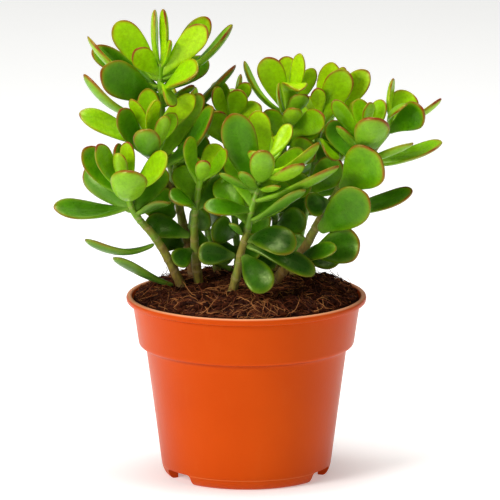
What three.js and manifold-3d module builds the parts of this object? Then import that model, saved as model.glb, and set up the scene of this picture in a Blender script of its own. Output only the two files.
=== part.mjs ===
// A jade plant in a plastic nursery pot.
// Millimetres, +Z up. The origin is on the pot's axis, in the plane that its foot stands on, and
// -Y is the plant's front.
import * as THREE from "three";
import { mergeVertices } from "three/addons/utils/BufferGeometryUtils.js";
import Module from "manifold-3d";

const wasm = await Module();
wasm.setup();

// ---------------------------------------------------------------- driving sizes

const gap = 0.3; // clearance between two pieces that touch

// Pot
const potHeight = 91.2;
const lipRadius = 60;
const lipDrop = 3.4; // height of the rolled lip
const lipReach = 3.1; // how far the lip stands out over the band
const bandHeight = 21.8; // from the lip's underside down to the step
const bandTaper = 3.2; // the band's radius shrinks by this much over its height
const stepIn = 3.2; // the body is this much narrower than the band
const bodyTaper = 7.9; // the body's radius shrinks by this much over its height
const cornerRadius = 4; // round edge between body and foot
const wall = 1.6;
const footHeight = 6; // the floor is raised this much, so that water can leave
const footWall = 2.4;
const floorThickness = 2;
const notches = 3;
const notchWidth = 19;
const notchHeight = 5.4;
const notchCorner = 1.8;
const firstNotch = -145; // degrees round the pot from +X
const drainHoles = 6;
const drainRadius = 3.5;
const drainCircle = 24;
const potSides = 32;

// Soil
const soilDrop = 1.2; // the soil meets the wall this far under the lip
const soilMound = 6.6; // rise of the heap in the middle
const rootDepth = 14; // how deep the stems go into the soil

// Stems
const plantDrop = 3.2; // the level that the plant's heights are counted from, under the lip
const rootRadius = 2.9;
const tipRadius = 1.7;
const budRadius = 1.1;
const stemSides = 8;
const tipSides = 6; // a green tip is slimmer and mostly hidden
const stemStep = 12; // length of stem between two rings of its mesh
const forkSwell = 0.3; // a fork starts this much wider than its tip
const domeRise = 0.35; // height of the dome on a stem's end, as a share of its radius

// Leaves
const leafThickness = 4.1; // of a leaf of the usual width; wider leaves are thicker
const usualWidth = 16;
const leafGrowth = 1; // scales the length of every leaf
const leafCup = 0.16; // how far the margins stand up, as a share of the half width
const ridgeShare = 0.52; // where the thick middle of a leaf ends, as a share of the half width
const underShare = 0.62; // the share of the thickness that lies below the leaf's middle
const claspOffset = 0.2; // a crowded leaf starts this far off its tip's middle line
const turnStep = 5; // degrees that a crowded leaf turns at a time
const turnRings = 6;
const turnHeadings = 8;
const shrinkStep = 0.85; // where no turn is enough, the leaf stays smaller by this
const smallestShare = 0.4;

// ---------------------------------------------------------------- solids

// A closed geometry's solid, for joining and cutting.
function solidOf(geometry) {
  const bare = new THREE.BufferGeometry();
  bare.setAttribute("position", geometry.getAttribute("position"));
  bare.setIndex(geometry.getIndex());
  const merged = mergeVertices(bare, 1e-4);
  return new wasm.Manifold(
    new wasm.Mesh({
      numProp: 3,
      vertProperties: merged.getAttribute("position").array,
      triVerts: new Uint32Array(merged.getIndex().array),
    }),
  );
}

function geometryOf(solid) {
  const mesh = solid.getMesh();
  const geometry = new THREE.BufferGeometry();
  geometry.setAttribute("position", new THREE.BufferAttribute(mesh.vertProperties, 3));
  geometry.setIndex(new THREE.BufferAttribute(mesh.triVerts, 1));
  geometry.computeVertexNormals();
  return geometry;
}

// A closed skin over rings of equally many points, with a flat start and a pointed end.
function loft(rings, point) {
  const sides = rings[0].length;
  const corners = [...rings.flat(), point];
  const apex = corners.length - 1;
  const faces = [];
  for (let i = 1; i < sides - 1; i++) {
    faces.push(0, i + 1, i);
  }
  for (let r = 0; r < rings.length - 1; r++) {
    for (let i = 0; i < sides; i++) {
      const a = r * sides + i;
      const b = r * sides + ((i + 1) % sides);
      faces.push(a, b, b + sides, a, b + sides, a + sides);
    }
  }
  const last = (rings.length - 1) * sides;
  for (let i = 0; i < sides; i++) {
    faces.push(last + i, last + ((i + 1) % sides), apex);
  }
  const places = corners.flatMap(({ x, y, z }) => [x, y, z]);
  const geometry = new THREE.BufferGeometry();
  geometry.setAttribute("position", new THREE.Float32BufferAttribute(places, 3));
  geometry.setIndex(faces);
  return geometry;
}

// ---------------------------------------------------------------- pot

const bandRadius = lipRadius - lipReach;
const stepHeight = potHeight - lipDrop - bandHeight;
const bodyRadius = bandRadius - bandTaper - stepIn;
const footRadius = bodyRadius - bodyTaper;
const bodyBottom = cornerRadius + 3;

// The wall's outer radius at a height, without its rounded edges.
function outerRadius(z) {
  if (z > stepHeight) {
    return bandRadius - (bandTaper * (potHeight - lipDrop - z)) / bandHeight;
  }
  return bodyRadius - (bodyTaper * (stepHeight - z)) / (stepHeight - bodyBottom);
}

function potGeometry() {
  const floorTop = footHeight + floorThickness;
  const ringRadius = footRadius - cornerRadius;
  const shape = new THREE.Path();
  shape.moveTo(0, footHeight);
  shape.lineTo(ringRadius - footWall, footHeight);
  shape.lineTo(ringRadius - footWall, 0);
  shape.lineTo(ringRadius, 0);
  shape.quadraticCurveTo(footRadius - 0.6, 0.6, footRadius, bodyBottom);
  shape.lineTo(outerRadius(stepHeight - 3), stepHeight - 3);
  shape.quadraticCurveTo(bodyRadius, stepHeight, bodyRadius + stepIn * 0.6, stepHeight + 0.4);
  const bandStart = stepHeight + 3;
  shape.quadraticCurveTo(bodyRadius + stepIn, stepHeight + 0.8, outerRadius(bandStart), bandStart);
  shape.lineTo(bandRadius, potHeight - lipDrop);
  shape.quadraticCurveTo(lipRadius, potHeight - lipDrop, lipRadius, potHeight - lipDrop * 0.5);
  shape.quadraticCurveTo(lipRadius, potHeight, lipRadius - lipReach * 0.6, potHeight);
  shape.lineTo(bandRadius - wall + 0.6, potHeight);
  shape.lineTo(bandRadius - wall, potHeight - 0.8);
  shape.lineTo(bandRadius - wall, potHeight - lipDrop);
  shape.lineTo(outerRadius(stepHeight + 2) - wall, stepHeight + 2);
  shape.lineTo(bodyRadius - wall, stepHeight - 1.5);
  shape.lineTo(outerRadius(floorTop) - wall, floorTop);
  shape.lineTo(0, floorTop);
  const geometry = new THREE.LatheGeometry(shape.getPoints(2), potSides);
  geometry.rotateX(Math.PI / 2);
  let solid = solidOf(geometry);
  for (let i = 0; i < notches; i++) {
    solid = solid.subtract(notchSolid(firstNotch + (i * 360) / notches));
  }
  for (let i = 0; i < drainHoles; i++) {
    const angle = ((i + 0.5) * 2 * Math.PI) / drainHoles;
    const drill = new THREE.CylinderGeometry(drainRadius, drainRadius, 3 * floorThickness, 14);
    drill.rotateX(Math.PI / 2);
    drill.translate(
      drainCircle * Math.cos(angle),
      drainCircle * Math.sin(angle),
      footHeight + floorThickness / 2,
    );
    solid = solid.subtract(solidOf(drill));
  }
  return geometryOf(solid);
}

// The gap in the foot ring that lets water out, centred at an angle in degrees.
function notchSolid(degrees) {
  const half = notchWidth / 2;
  const below = -2;
  const outline = new THREE.Shape();
  outline.moveTo(-half, below);
  outline.lineTo(half, below);
  outline.lineTo(half, notchHeight - notchCorner);
  outline.quadraticCurveTo(half, notchHeight, half - notchCorner, notchHeight);
  outline.lineTo(notchCorner - half, notchHeight);
  outline.quadraticCurveTo(-half, notchHeight, -half, notchHeight - notchCorner);
  const reach = footRadius * 0.6;
  const block = new THREE.ExtrudeGeometry(outline, {
    depth: reach,
    bevelEnabled: false,
    curveSegments: 3,
  });
  block.rotateX(Math.PI / 2);
  block.rotateZ(Math.PI);
  block.translate(0, reach, 0);
  block.rotateZ(THREE.MathUtils.degToRad(degrees - 90));
  return solidOf(block);
}

// ---------------------------------------------------------------- plant layout

// Heights in this layout are counted from a level just inside the pot.
const plantLevel = potHeight - plantDrop;

// Which way a leaf's upper side looks: up on a level leaf and inwards on an upright one, or some
// other way where the leaf has twisted.
const up = [0, 0.2, 1];
const upFront = [0, -0.6, 0.8];
const front = [0, -1, 0.25];
const back = [0, 1, -0.2];
const left = [-1, -0.2, 0.2];
const right = [1, -0.2, 0.2];
const frontUp = [0, -1, 0.9];
const frontLeft = [-0.7, -1, 0.3];
const frontRight = [0.7, -1, 0.3];

// Each shoot: the points that its stem grows through, the height where its wood ends and its green
// tip begins, the shoot that it branches from if any, and its leaves. A leaf is the height that it
// grows from, its tip's place, its width, and then what sets it apart: the way it faces and its
// arch, which is positive where the leaf curls down and negative where it curls up.
const shoots = {
  crown_left: {
    path: [[-25, 13, 0], [-30, 13, 28], [-37, 9, 62], [-42, 4, 96], [-43, 2, 124]],
    green: 70,
    leaves: [
      [24, [-44, 22, 32], 14, up, 0.05],
      [26, [-42, 0, 34], 14, front, 0],
      [34, [-20, 2, 44], 14, front, 0],
      [42, [-48, 2, 60], 18, front, 0.05],
      [50, [-25, -4, 74], 20, front, 0.05],
      [64, [-22, 8, 84], 17, front, 0],
      [74, [-60, 18, 90], 15, back, 0],
      [76, [-24, 2, 96], 14, front, 0.04],
      [84, [-62, 6, 102], 14, front, 0],
      [93, [-81, 1, 115], 13, up, -0.2],
      [85, [-5.5, 16, 117], 15, up, -0.04],
      [101, [-72, -15, 120], 19, front, -0.05],
      [104, [-24, -19, 120], 18, upFront, 0.1],
      [98, [-26, 8, 108], 12, up, 0],
      [112, [-7, 13, 138], 12, up, -0.14],
      [108, [-79, 7, 133], 12, up, -0.14],
      [106, [-77, 16, 125], 12, frontLeft, -0.1],
      [112, [-65, 6, 140], 15, front, -0.06],
      [112, [-58, 22, 126], 15, frontUp, -0.1],
      [114, [-56, -10, 129], 12, front, -0.1],
      [114, [-20, -8, 141], 13, front, -0.1],
      [110, [-19, 9, 142], 13, front, -0.12],
      [106, [-18, 16, 119], 12, front, 0],
      [110, [-38, -21, 107], 10, frontRight, 0.1],
      [118, [-45.5, 4, 147], 9, right, -0.06],
      [118, [-41, 0, 148], 9, [-1, -0.5, 0], -0.06],
      [118, [-37.5, -5, 133], 6, left, -0.06],
    ],
  },
  mid_left: {
    from: "crown_left",
    path: [[-36, 9, 54], [-41, -2, 62], [-46, -11, 74], [-48, -14, 92]],
    green: 65,
    leaves: [
      [69, [-17, -17, 102], 15, [-0.5, -0.5, 0.8], -0.16],
      [82, [-83, -13, 98], 14, upFront, -0.03],
      [74, [-62, -25, 102], 13, frontRight, -0.14],
      [82, [-59, -19, 105], 8, frontLeft, -0.1],
      [78, [-52, -3, 108], 12, front, -0.1],
      [82, [-46, -20, 110], 9, frontRight, -0.1],
      [77, [-50, -34, 94], 14, up, -0.2],
      [67, [-36, -8, 84], 12, front, 0],
      [70, [-60, -8, 90], 12, back, 0],
      [78, [-40, -25, 99], 8, up, -0.1],
      [80, [-35, -14, 98], 9, front, -0.1],
      [84, [-26, -6, 106], 11, front, -0.1],
      [70, [-18, 4, 101], 11, front, -0.1],
    ],
  },
  low_left: {
    path: [[-30, -5, 0], [-33, -8, 10], [-40, -13, 26], [-47, -18, 38], [-56, -23, 50], [-60, -26, 66]],
    green: 46,
    leaves: [
      [48, [-60, -4, 64], 15, back, 0],
      [50, [-42, -10, 70], 13, front, 0.03],
      [53, [-95.5, -30, 54], 13, upFront, -0.12],
      [48, [-38, -32, 57], 11, up, 0.05],
      [34, [-80, -26, 37], 12, up, -0.18],
      [12, [-66, -22, 27], 12, up, -0.04],
      [50, [-79, -12, 71], 17, back, -0.1],
      [58, [-80, -28, 83], 15, frontRight, -0.14],
      [59, [-73, -39, 87], 11, frontRight, -0.12],
      [60, [-75, -12, 88], 12, up, -0.1],
      [62, [-63, -8, 87], 13, back, -0.1],
      [62, [-64, -33, 82], 8, up, -0.08],
      [62, [-53, -26, 85], 9, frontLeft, -0.1],
      [58, [-58, -48, 76], 19, up, -0.2],
      [60, [-40, -36, 82], 13, [-0.8, -0.8, 0.2], -0.12],
    ],
  },
  slim_left: {
    path: [[-23, 0, 0], [-25, -4, 20], [-26, -10, 42], [-24, -15, 57], [-22, -18, 72]],
    green: 46,
    leaves: [
      [48, [-10, -2, 64], 13, front, 0.05],
      [52, [-37, 2, 74], 13, front, 0],
      [49, [-38, -27, 58], 13, upFront, 0.14],
      [34, [-49, 2, 41], 14, frontUp, 0.04],
      [28, [-37, -14, 22], 11, front, 0.12],
      [20, [-12, -2, 27], 12, front, 0.05],
      [62, [-28, -24, 88], 9, frontRight, -0.12],
      [64, [-10, -28, 82], 8, frontLeft, -0.14],
      [65, [-21, -32, 78], 8, up, -0.12],
      [66, [-13, -8, 81], 12, front, -0.1],
      [66, [-31, -6, 84], 9, up, -0.1],
    ],
  },
  centre: {
    path: [[-9, -22, 0], [-5.5, -22, 14], [-2.5, -22, 30], [1, -21, 42], [4, -20, 56], [12, -18, 80]],
    green: 40,
    leaves: [
      [42, [-18, -6, 58], 13, front, 0],
      [44, [22, -8, 60], 14, front, 0],
      [52, [-14, -8, 74], 12, front, 0],
      [60, [29, -8, 78], 12, front, 0],
      [50, [-21, -31, 54], 11, frontUp, 0.03],
      [45, [29, -35, 64], 11, up, -0.03],
      [38, [-8, -27, 45], 6, up, 0],
      [27, [-24, -26, 30], 12, front, 0.1],
      [36, [24, -44, 35], 17, frontUp, 0.26],
      [28, [11, -43, 14], 15, front, 0.14],
      [33, [34, -31, 20], 12, frontUp, 0.12],
      [55, [46, -33, 75], 15, up, -0.05],
      [58, [-11, -27, 98], 18, front, -0.03],
      [62, [16, -36, 66], 7, up, -0.1],
      [61, [-13, -29, 71], 8, up, -0.08],
      [62, [-5, -35, 73], 8, up, -0.1],
      [66, [8, -45, 86], 13, up, -0.2],
      [70, [23, -44, 82], 14, up, -0.2],
      [70, [35.5, -26, 86], 16, up, -0.2],
      [72, [3, -24, 84], 9, up, -0.1],
      [74, [9, -7, 86], 10, up, -0.1],
      [72, [20, -2, 85], 10, up, -0.12],
      [76, [22, -17, 93], 9, frontLeft, -0.1],
      [73, [5, -12, 99], 12, front, -0.1],
    ],
  },
  back_left: {
    path: [[-4, 16, 0], [-5, 17, 30], [-8, 15, 64], [-8, 11, 100]],
    green: 18,
    leaves: [
      [12, [-26, 28, 22], 13, up, 0],
      [20, [8, 2, 28], 14, front, 0.05],
      [30, [-24, 4, 38], 15, front, 0],
      [32, [12, 4, 42], 14, front, 0],
      [22, [-18, 2, 28], 14, front, 0.1],
      [38, [-21, 4, 46], 15, front, 0.05],
      [48, [-27, 12, 62], 15, front, 0],
      [60, [7, 2, 76], 14, front, 0],
      [80, [5, 14, 96], 12, front, 0],
      [82, [-22, 12, 100], 12, front, 0],
      [42, [10, -4, 56], 17, front, 0.05],
      [42, [-22, 34, 54], 16, up, -0.05],
      [54, [-24, 2, 64], 17, front, 0.05],
      [66, [10, 0, 86], 16, front, -0.05],
      [76, [-18, -4, 96], 14, front, -0.06],
      [88, [-3, -1, 107], 11, front, -0.08],
      [88, [-17.5, 3, 108], 9, frontRight, -0.08],
      [92, [-11, 16, 111], 10, front, -0.08],
      [92, [-6, 24, 106], 10, front, -0.1],
      [94, [-3, 22, 111], 6, left, -0.06],
      [94, [1, 8, 109], 8, front, -0.08],
      [88, [7, 4, 98], 11, front, -0.1],
    ],
  },
  back_right: {
    path: [[11, 20, 0], [14, 21, 32], [18, 19, 64], [21, 14, 98]],
    green: 18,
    leaves: [
      [20, [2, 8, 20], 13, front, 0.05],
      [32, [32, 8, 42], 14, front, 0],
      [22, [32, 4, 28], 15, front, 0.1],
      [38, [4, 2, 46], 15, front, 0.05],
      [48, [33, 8, 62], 15, front, 0],
      [62, [0, 8, 82], 14, front, 0],
      [76, [37, 6, 94], 13, front, 0],
      [74, [4, 8, 92], 13, front, 0],
      [42, [34, 6, 50], 16, front, 0.05],
      [56, [2, 8, 72], 15, front, 0],
      [56, [40, 34, 66], 16, up, -0.08],
      [68, [34, 2, 80], 15, front, 0],
      [80, [42, -12, 105], 13, front, -0.08],
      [92, [9.5, 9, 122], 14, front, -0.08],
      [94, [26, -5, 108], 13, up, 0.34],
      [94, [20, 28, 119], 11, front, -0.1],
      [94, [29, 8, 123], 9, frontLeft, -0.06],
      [92, [34, 21, 114], 9, front, -0.08],
      [90, [16, -5, 111], 7, right, -0.05],
      [88, [24, -10, 100], 10, up, -0.14],
      [92, [28, 1, 105], 11, up, -0.12],
      [92, [-1, 26, 117], 9, right, -0.16],
    ],
  },
  right_top: {
    path: [[22, 14, 0], [27, 14, 30], [33, 11, 62], [38, 8, 98]],
    green: 26,
    leaves: [
      [32, [42, 2, 36], 15, front, 0],
      [13, [44, 24, 20], 13, up, 0],
      [20, [47, 0, 20], 15, frontUp, 0.1],
      [50, [53, 12, 64], 14, front, 0],
      [76, [56, 6, 98], 13, front, 0],
      [38, [46, 6, 50], 16, front, 0.05],
      [52, [48, -2, 72], 16, front, 0],
      [70, [52, 0, 92], 15, front, 0],
      [60, [52, 28, 76], 15, up, -0.08],
      [80, [41, -8, 65], 12, frontRight, 0.14],
      [78, [24, 34, 94], 14, up, -0.1],
      [88, [43, 17, 118], 12, front, -0.08],
      [86, [51, 1, 116], 15, front, -0.1],
      [88, [61, 8, 115], 13, front, -0.12],
      [90, [49, 25, 114], 8, front, -0.1],
      [92, [35, 3, 108], 8, front, -0.08],
    ],
  },
  right: {
    path: [[9, -3, 0], [18, -6, 16], [28, -8, 27], [36, -9, 42], [48, -10, 62], [58, -8, 78], [62, -8, 92]],
    green: 69,
    leaves: [
      [28, [56, -22, 35], 19, front, -0.05],
      [22, [45, -32, 33], 10, frontUp, 0.1],
      [40, [60, -34, 61], 21, front, 0.04],
      [60, [65, -33, 81], 24, front, -0.05],
      [52, [31, -22, 52], 13, front, 0.1],
      [50, [83, -11, 58], 12, upFront, -0.12],
      [72, [97.5, -7, 82], 12, [0, -0.4, 0.9], -0.1],
      [72, [82.5, -23, 85], 10, up, -0.03],
      [71, [40, 0, 90], 12, front, 0],
      [80, [67, -37, 97], 18, up, -0.2],
      [80, [43.5, -4, 103], 9, frontLeft, -0.05],
      [78, [45, -16, 92], 8, up, -0.05],
      [84, [55, -12, 105], 9, front, -0.1],
      [85, [61, -16, 106], 8, frontRight, -0.08],
      [84, [67, 2, 102], 11, frontLeft, -0.12],
      [82, [52, 6, 98], 12, front, -0.1],
    ],
  },
  far_right: {
    from: "right",
    path: [[45, -9.8, 57], [54, -1, 67], [66, 4, 79], [76, 2, 96]],
    green: 82,
    leaves: [
      [84, [87, -16, 100], 15, front, -0.14],
      [88, [77, -18, 102], 9, frontRight, -0.14],
      [88, [82, 15, 103], 15, front, -0.14],
      [90, [73, 14, 110], 7, right, -0.1],
      [90, [97, 5, 102], 9, up, -0.12],
    ],
  },
  rear_left: {
    path: [[-13, 24, 0], [-20, 34, 30], [-28, 42, 58], [-32, 44, 84]],
    green: 18,
    leaves: [
      [20, [-34, 24, 28], 15, front, 0],
      [32, [-12, 24, 46], 15, front, 0],
      [42, [-52, 30, 56], 17, up, -0.1],
      [52, [-14, 57, 66], 17, up, -0.1],
      [64, [-56, 50, 80], 16, up, -0.14],
      [66, [-30, 60, 88], 15, up, -0.14],
      [70, [-16, 36, 88], 14, up, -0.14],
      [70, [-44, 28, 90], 14, up, -0.12],
      [76, [-26, 46, 100], 9, up, -0.1],
      [76, [-38, 44, 102], 9, up, -0.1],
    ],
  },
  rear_right: {
    path: [[14, 27, 0], [22, 36, 28], [32, 42, 54], [38, 42, 80]],
    green: 44,
    leaves: [
      [38, [54, 30, 48], 17, up, -0.1],
      [48, [16, 57, 60], 17, up, -0.1],
      [60, [62, 46, 78], 16, up, -0.14],
      [62, [38, 60, 82], 15, up, -0.14],
      [66, [48, 24, 84], 13, up, -0.12],
      [66, [22, 40, 82], 13, up, -0.12],
      [72, [44, 44, 97], 9, up, -0.1],
      [72, [32, 42, 96], 9, up, -0.1],
    ],
  },
  rear: {
    path: [[2, 32, 0], [1, 42, 22], [2, 50, 44], [2, 50, 66]],
    green: 40,
    leaves: [
      [28, [-26, 52, 34], 17, up, -0.08],
      [34, [30, 54, 36], 17, up, -0.08],
      [48, [2, 60, 72], 15, up, -0.16],
      [52, [-20, 50, 70], 15, up, -0.14],
      [52, [22, 52, 68], 15, up, -0.14],
      [58, [-4, 40, 78], 10, up, -0.1],
      [58, [7, 50, 82], 8, up, -0.1],
    ],
  },
};

// ---------------------------------------------------------------- stems

// The centre line of a shoot, from its root or its fork to its bud.
function stemCurve(shoot) {
  const points = shoot.path.map(([x, y, h]) => new THREE.Vector3(x, y, plantLevel + h));
  if (!shoot.from) {
    points.unshift(points[0].clone().setZ(plantLevel - rootDepth));
  }
  return new THREE.CatmullRomCurve3(points, false, "centripetal");
}

// Where along a rising curve, from 0 to 1, a height is reached.
function reachOf(curve, z) {
  const halvings = 24;
  let low = 0;
  let high = 1;
  for (let i = 0; i < halvings; i++) {
    const middle = (low + high) / 2;
    if (curve.getPointAt(middle).z < z) {
      low = middle;
    } else {
      high = middle;
    }
  }
  return low;
}

function stemRadius(shoot, at) {
  const start = shoot.from ? tipRadius + forkSwell : rootRadius;
  return THREE.MathUtils.lerp(start, tipRadius, Math.min(1, at / shoot.woodEnd));
}

// A round section square to a direction.
function ring(centre, direction, radius, sides) {
  const side = new THREE.Vector3(0, 1, 0).cross(direction).normalize();
  const over = direction.clone().cross(side);
  return Array.from({ length: sides }, (_, i) => {
    const angle = (i * 2 * Math.PI) / sides;
    return centre
      .clone()
      .addScaledVector(side, radius * Math.cos(angle))
      .addScaledVector(over, radius * Math.sin(angle));
  });
}

// A closed stem along part of a curve; radiusAt gives its radius, and its end is a low dome.
function stemSolid(curve, from, to, radiusAt, sides = stemSides) {
  const length = curve.getLength() * (to - from);
  const steps = Math.max(2, Math.round(length / stemStep));
  const rings = [];
  for (let i = 0; i <= steps; i++) {
    const at = from + ((to - from) * i) / steps;
    rings.push(ring(curve.getPointAt(at), curve.getTangentAt(at), radiusAt(at), sides));
  }
  const end = curve.getPointAt(to).addScaledVector(curve.getTangentAt(to), radiusAt(to) * domeRise);
  return solidOf(loft(rings, end));
}

// ---------------------------------------------------------------- leaves

// Sections along a leaf: how far along it they are, their width and their thickness.
const leafSections = [
  [0, 0.3, 0.66],
  [0.22, 0.48, 0.9],
  [0.48, 0.88, 1],
  [0.75, 1, 0.94],
  [0.94, 0.68, 0.64],
];
const bladeStart = 2; // the section where the stalk has become the blade
const bendPlace = 0.48; // how far along the leaf its arch is highest
const archReach = 1.6; // how far an arch of 1 pulls the middle line aside, as a share of the length

// The control point of a leaf's arched middle line, counted from its base.
function leafHeading(reach, face, arch) {
  const normal = face.clone().projectOnPlane(reach).normalize();
  const pull = arch * archReach * reach.length();
  return reach.clone().multiplyScalar(bendPlace).addScaledVector(normal, pull);
}

// The solid of one leaf; grow makes it larger all round, to keep its neighbours clear, and its
// first sections can be left out.
function leafSolid({ base, tip, width, face, arch }, grow = 0, firstSection = 0) {
  const reach = tip.clone().sub(base);
  const normal = face.clone().projectOnPlane(reach).normalize();
  const end = tip.clone().addScaledVector(reach.clone().normalize(), grow);
  const spine = new THREE.QuadraticBezierCurve3(base, leafHeading(reach, face, arch).add(base), end);
  const thickness = leafThickness * Math.sqrt(width / usualWidth);
  const rings = leafSections.slice(firstSection).map(([at, widthShare, thickShare]) => {
    const centre = spine.getPoint(at);
    const tangent = spine.getTangent(at);
    const side = normal.clone().cross(tangent).normalize();
    const over = tangent.clone().cross(side);
    const half = (width * widthShare) / 2;
    const lift = leafCup * half * widthShare;
    const ridge = half * ridgeShare;
    const under = -thickness * thickShare * underShare - grow;
    const above = thickness * thickShare * (1 - underShare) + lift * 0.2 + grow;
    const outline = [
      [-half - grow, lift],
      [-ridge, under],
      [ridge, under],
      [half + grow, lift],
      [ridge, above],
      [-ridge, above],
    ];
    return outline.map(([x, y]) => centre.clone().addScaledVector(side, x).addScaledVector(over, y));
  });
  return solidOf(loft(rings, end));
}

function boxesMeet(a, b) {
  return a.min.every((low, i) => low <= b.max[i] && b.min[i] <= a.max[i]);
}

function meets(solid, others) {
  const box = solid.boundingBox();
  return others.some((other) => boxesMeet(box, other.box) && solid.intersect(other.solid).volume() > 0);
}

// A crowded leaf turns about its base, a little at a time, until it is clear of what grew before it.
// Leaves of one shoot touch at their bases, so only their blades keep clear of its other blades.
function settle(leaf, others, blades = []) {
  const reach = leaf.tip.clone().sub(leaf.base);
  const flat = new THREE.Vector3(0, 0, 1).cross(reach).normalize();
  for (let size = 1; size > smallestShare; size *= shrinkStep) {
    for (let step = 0; step <= turnRings; step++) {
      for (let i = 0; i < (step ? turnHeadings : 1); i++) {
        const angle = THREE.MathUtils.degToRad(turnStep * step);
        const heading = (i * 2 * Math.PI) / turnHeadings;
        const turned = reach
          .clone()
          .applyAxisAngle(flat, angle * Math.sin(heading))
          .applyAxisAngle(new THREE.Vector3(0, 0, 1), angle * Math.cos(heading))
          .multiplyScalar(size);
        const tried = { ...leaf, tip: leaf.base.clone().add(turned) };
        const clear = !meets(leafSolid(tried, gap), others);
        if (clear && !meets(leafSolid(tried, gap, bladeStart), blades)) {
          return tried;
        }
      }
    }
  }
  return leaf;
}

// ---------------------------------------------------------------- growing the plant

const grown = []; // every finished solid with its box, which later leaves keep clear of

function keep(solid, list = grown) {
  list.push({ solid, box: solid.boundingBox() });
  return solid;
}

for (const shoot of Object.values(shoots)) {
  shoot.curve = stemCurve(shoot);
  shoot.woodEnd = reachOf(shoot.curve, plantLevel + shoot.green);
  shoot.wood = stemSolid(shoot.curve, 0, shoot.woodEnd, (at) => stemRadius(shoot, at));
}

// The height that a leaf grows from is raised where its base would reach below `lowest`.
function describeLeaf(shoot, [height, tip, width, facing, arch], radiusAt, lowest = 0) {
  const halfBase = (width * leafSections[0][1]) / 2;
  const margin = (halfBase + 2 * gap) / shoot.curve.getLength();
  const at = Math.max(reachOf(shoot.curve, plantLevel + height), lowest + margin);
  const node = shoot.curve.getPointAt(at);
  const face = new THREE.Vector3(...facing);
  const reach = new THREE.Vector3(tip[0], tip[1], plantLevel + tip[2]).sub(node).multiplyScalar(leafGrowth);
  const outward = reach.clone().projectOnPlane(shoot.curve.getTangentAt(at)).normalize();
  const lean = leafHeading(reach, face, arch).angleTo(outward);
  const base = node.clone().addScaledVector(outward, radiusAt(at, halfBase * Math.sin(lean)));
  return { base, tip: node.add(reach), width, face, arch };
}

const stems = {};
for (const [name, shoot] of Object.entries(shoots)) {
  if (shoot.from) {
    stems[shoot.from] = stems[shoot.from].add(shoot.wood);
  } else {
    stems[name] = shoot.wood;
  }
}
Object.values(stems).forEach((solid) => keep(solid));

// The green tips come before any leaf, so that every leaf keeps clear of them.
for (const shoot of Object.values(shoots)) {
  const start = shoot.woodEnd + (gap + tipRadius * domeRise) / shoot.curve.getLength();
  const radiusAt = (at) => THREE.MathUtils.lerp(tipRadius, budRadius, (at - start) / (1 - start));
  shoot.tip = stemSolid(shoot.curve, start, 1, radiusAt, tipSides);
  shoot.tipStart = start;
  keep(shoot.tip);
}

// A leaf on the wood stands off it by the gap.
const leaves = {};
for (const [name, shoot] of Object.entries(shoots)) {
  const onWood = shoot.leaves.filter(([height]) => height < shoot.green);
  onWood.forEach((row, i) => {
    const leaf = describeLeaf(shoot, row, (at, spread) => stemRadius(shoot, at) + gap + spread);
    leaves[`leaf_${name}_${i + 1}`] = keep(leafSolid(settle(leaf, grown)));
  });
}

// The leaves of a green tip are one piece with it.
const rosettes = {};
for (const [name, shoot] of Object.entries(shoots)) {
  const others = grown.filter(({ solid }) => solid !== shoot.tip);
  const blades = [];
  let rosette = shoot.tip;
  for (const row of shoot.leaves.filter(([height]) => height >= shoot.green)) {
    const leaf = settle(describeLeaf(shoot, row, () => claspOffset, shoot.tipStart), others, blades);
    rosette = rosette.add(leafSolid(leaf));
    keep(leafSolid(leaf, 0, bladeStart), blades);
  }
  rosettes[`rosette_${name}`] = keep(rosette);
}

// ---------------------------------------------------------------- soil

function soilGeometry() {
  const floorTop = footHeight + floorThickness + gap;
  const edge = potHeight - soilDrop;
  const inside = (z) => outerRadius(z) - wall - gap;
  const widest = bandRadius - wall - gap;
  const profile = [
    new THREE.Vector2(0, floorTop),
    new THREE.Vector2(inside(floorTop), floorTop),
    new THREE.Vector2(bodyRadius - wall - gap, stepHeight - 1.5),
    new THREE.Vector2(inside(stepHeight + 2), stepHeight + 2),
    new THREE.Vector2(widest, potHeight - lipDrop),
    new THREE.Vector2(widest, edge),
    new THREE.Vector2(widest * 0.86, edge + soilMound * 0.75),
    new THREE.Vector2(widest * 0.45, edge + soilMound * 0.95),
    new THREE.Vector2(0, edge + soilMound),
  ];
  const geometry = new THREE.LatheGeometry(profile, potSides / 2);
  geometry.rotateX(Math.PI / 2);
  let solid = solidOf(geometry);
  for (const shoot of Object.values(shoots).filter((each) => !each.from)) {
    const top = reachOf(shoot.curve, edge + soilMound + 8);
    const socket = stemSolid(shoot.curve, 0, top, () => rootRadius + gap);
    solid = solid.subtract(socket.translate([0, 0, -gap]));
  }
  return geometryOf(solid);
}

// ---------------------------------------------------------------- the assembly

const plastic = new THREE.MeshStandardMaterial({ color: 0xe2601e, roughness: 0.45, metalness: 0 });
const earth = new THREE.MeshStandardMaterial({ color: 0x3a1a12, roughness: 1, metalness: 0 });
const bark = new THREE.MeshStandardMaterial({ color: 0x7a5a2c, roughness: 0.8, metalness: 0 });
const oldLeaf = new THREE.MeshStandardMaterial({ color: 0x2f6a0c, roughness: 0.4, metalness: 0 });
const youngLeaf = new THREE.MeshStandardMaterial({ color: 0x7db80a, roughness: 0.4, metalness: 0 });

const plant = new THREE.Group();

function addMesh(name, geometry, material) {
  const mesh = new THREE.Mesh(geometry, material);
  mesh.name = name;
  plant.add(mesh);
}

addMesh("pot", potGeometry(), plastic);
addMesh("soil", soilGeometry(), earth);
Object.entries(stems).forEach(([name, solid]) => addMesh(`stem_${name}`, geometryOf(solid), bark));
Object.entries(leaves).forEach(([name, solid]) => addMesh(name, geometryOf(solid), oldLeaf));
Object.entries(rosettes).forEach(([name, solid]) => addMesh(name, geometryOf(solid), youngLeaf));

export default plant;
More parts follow.
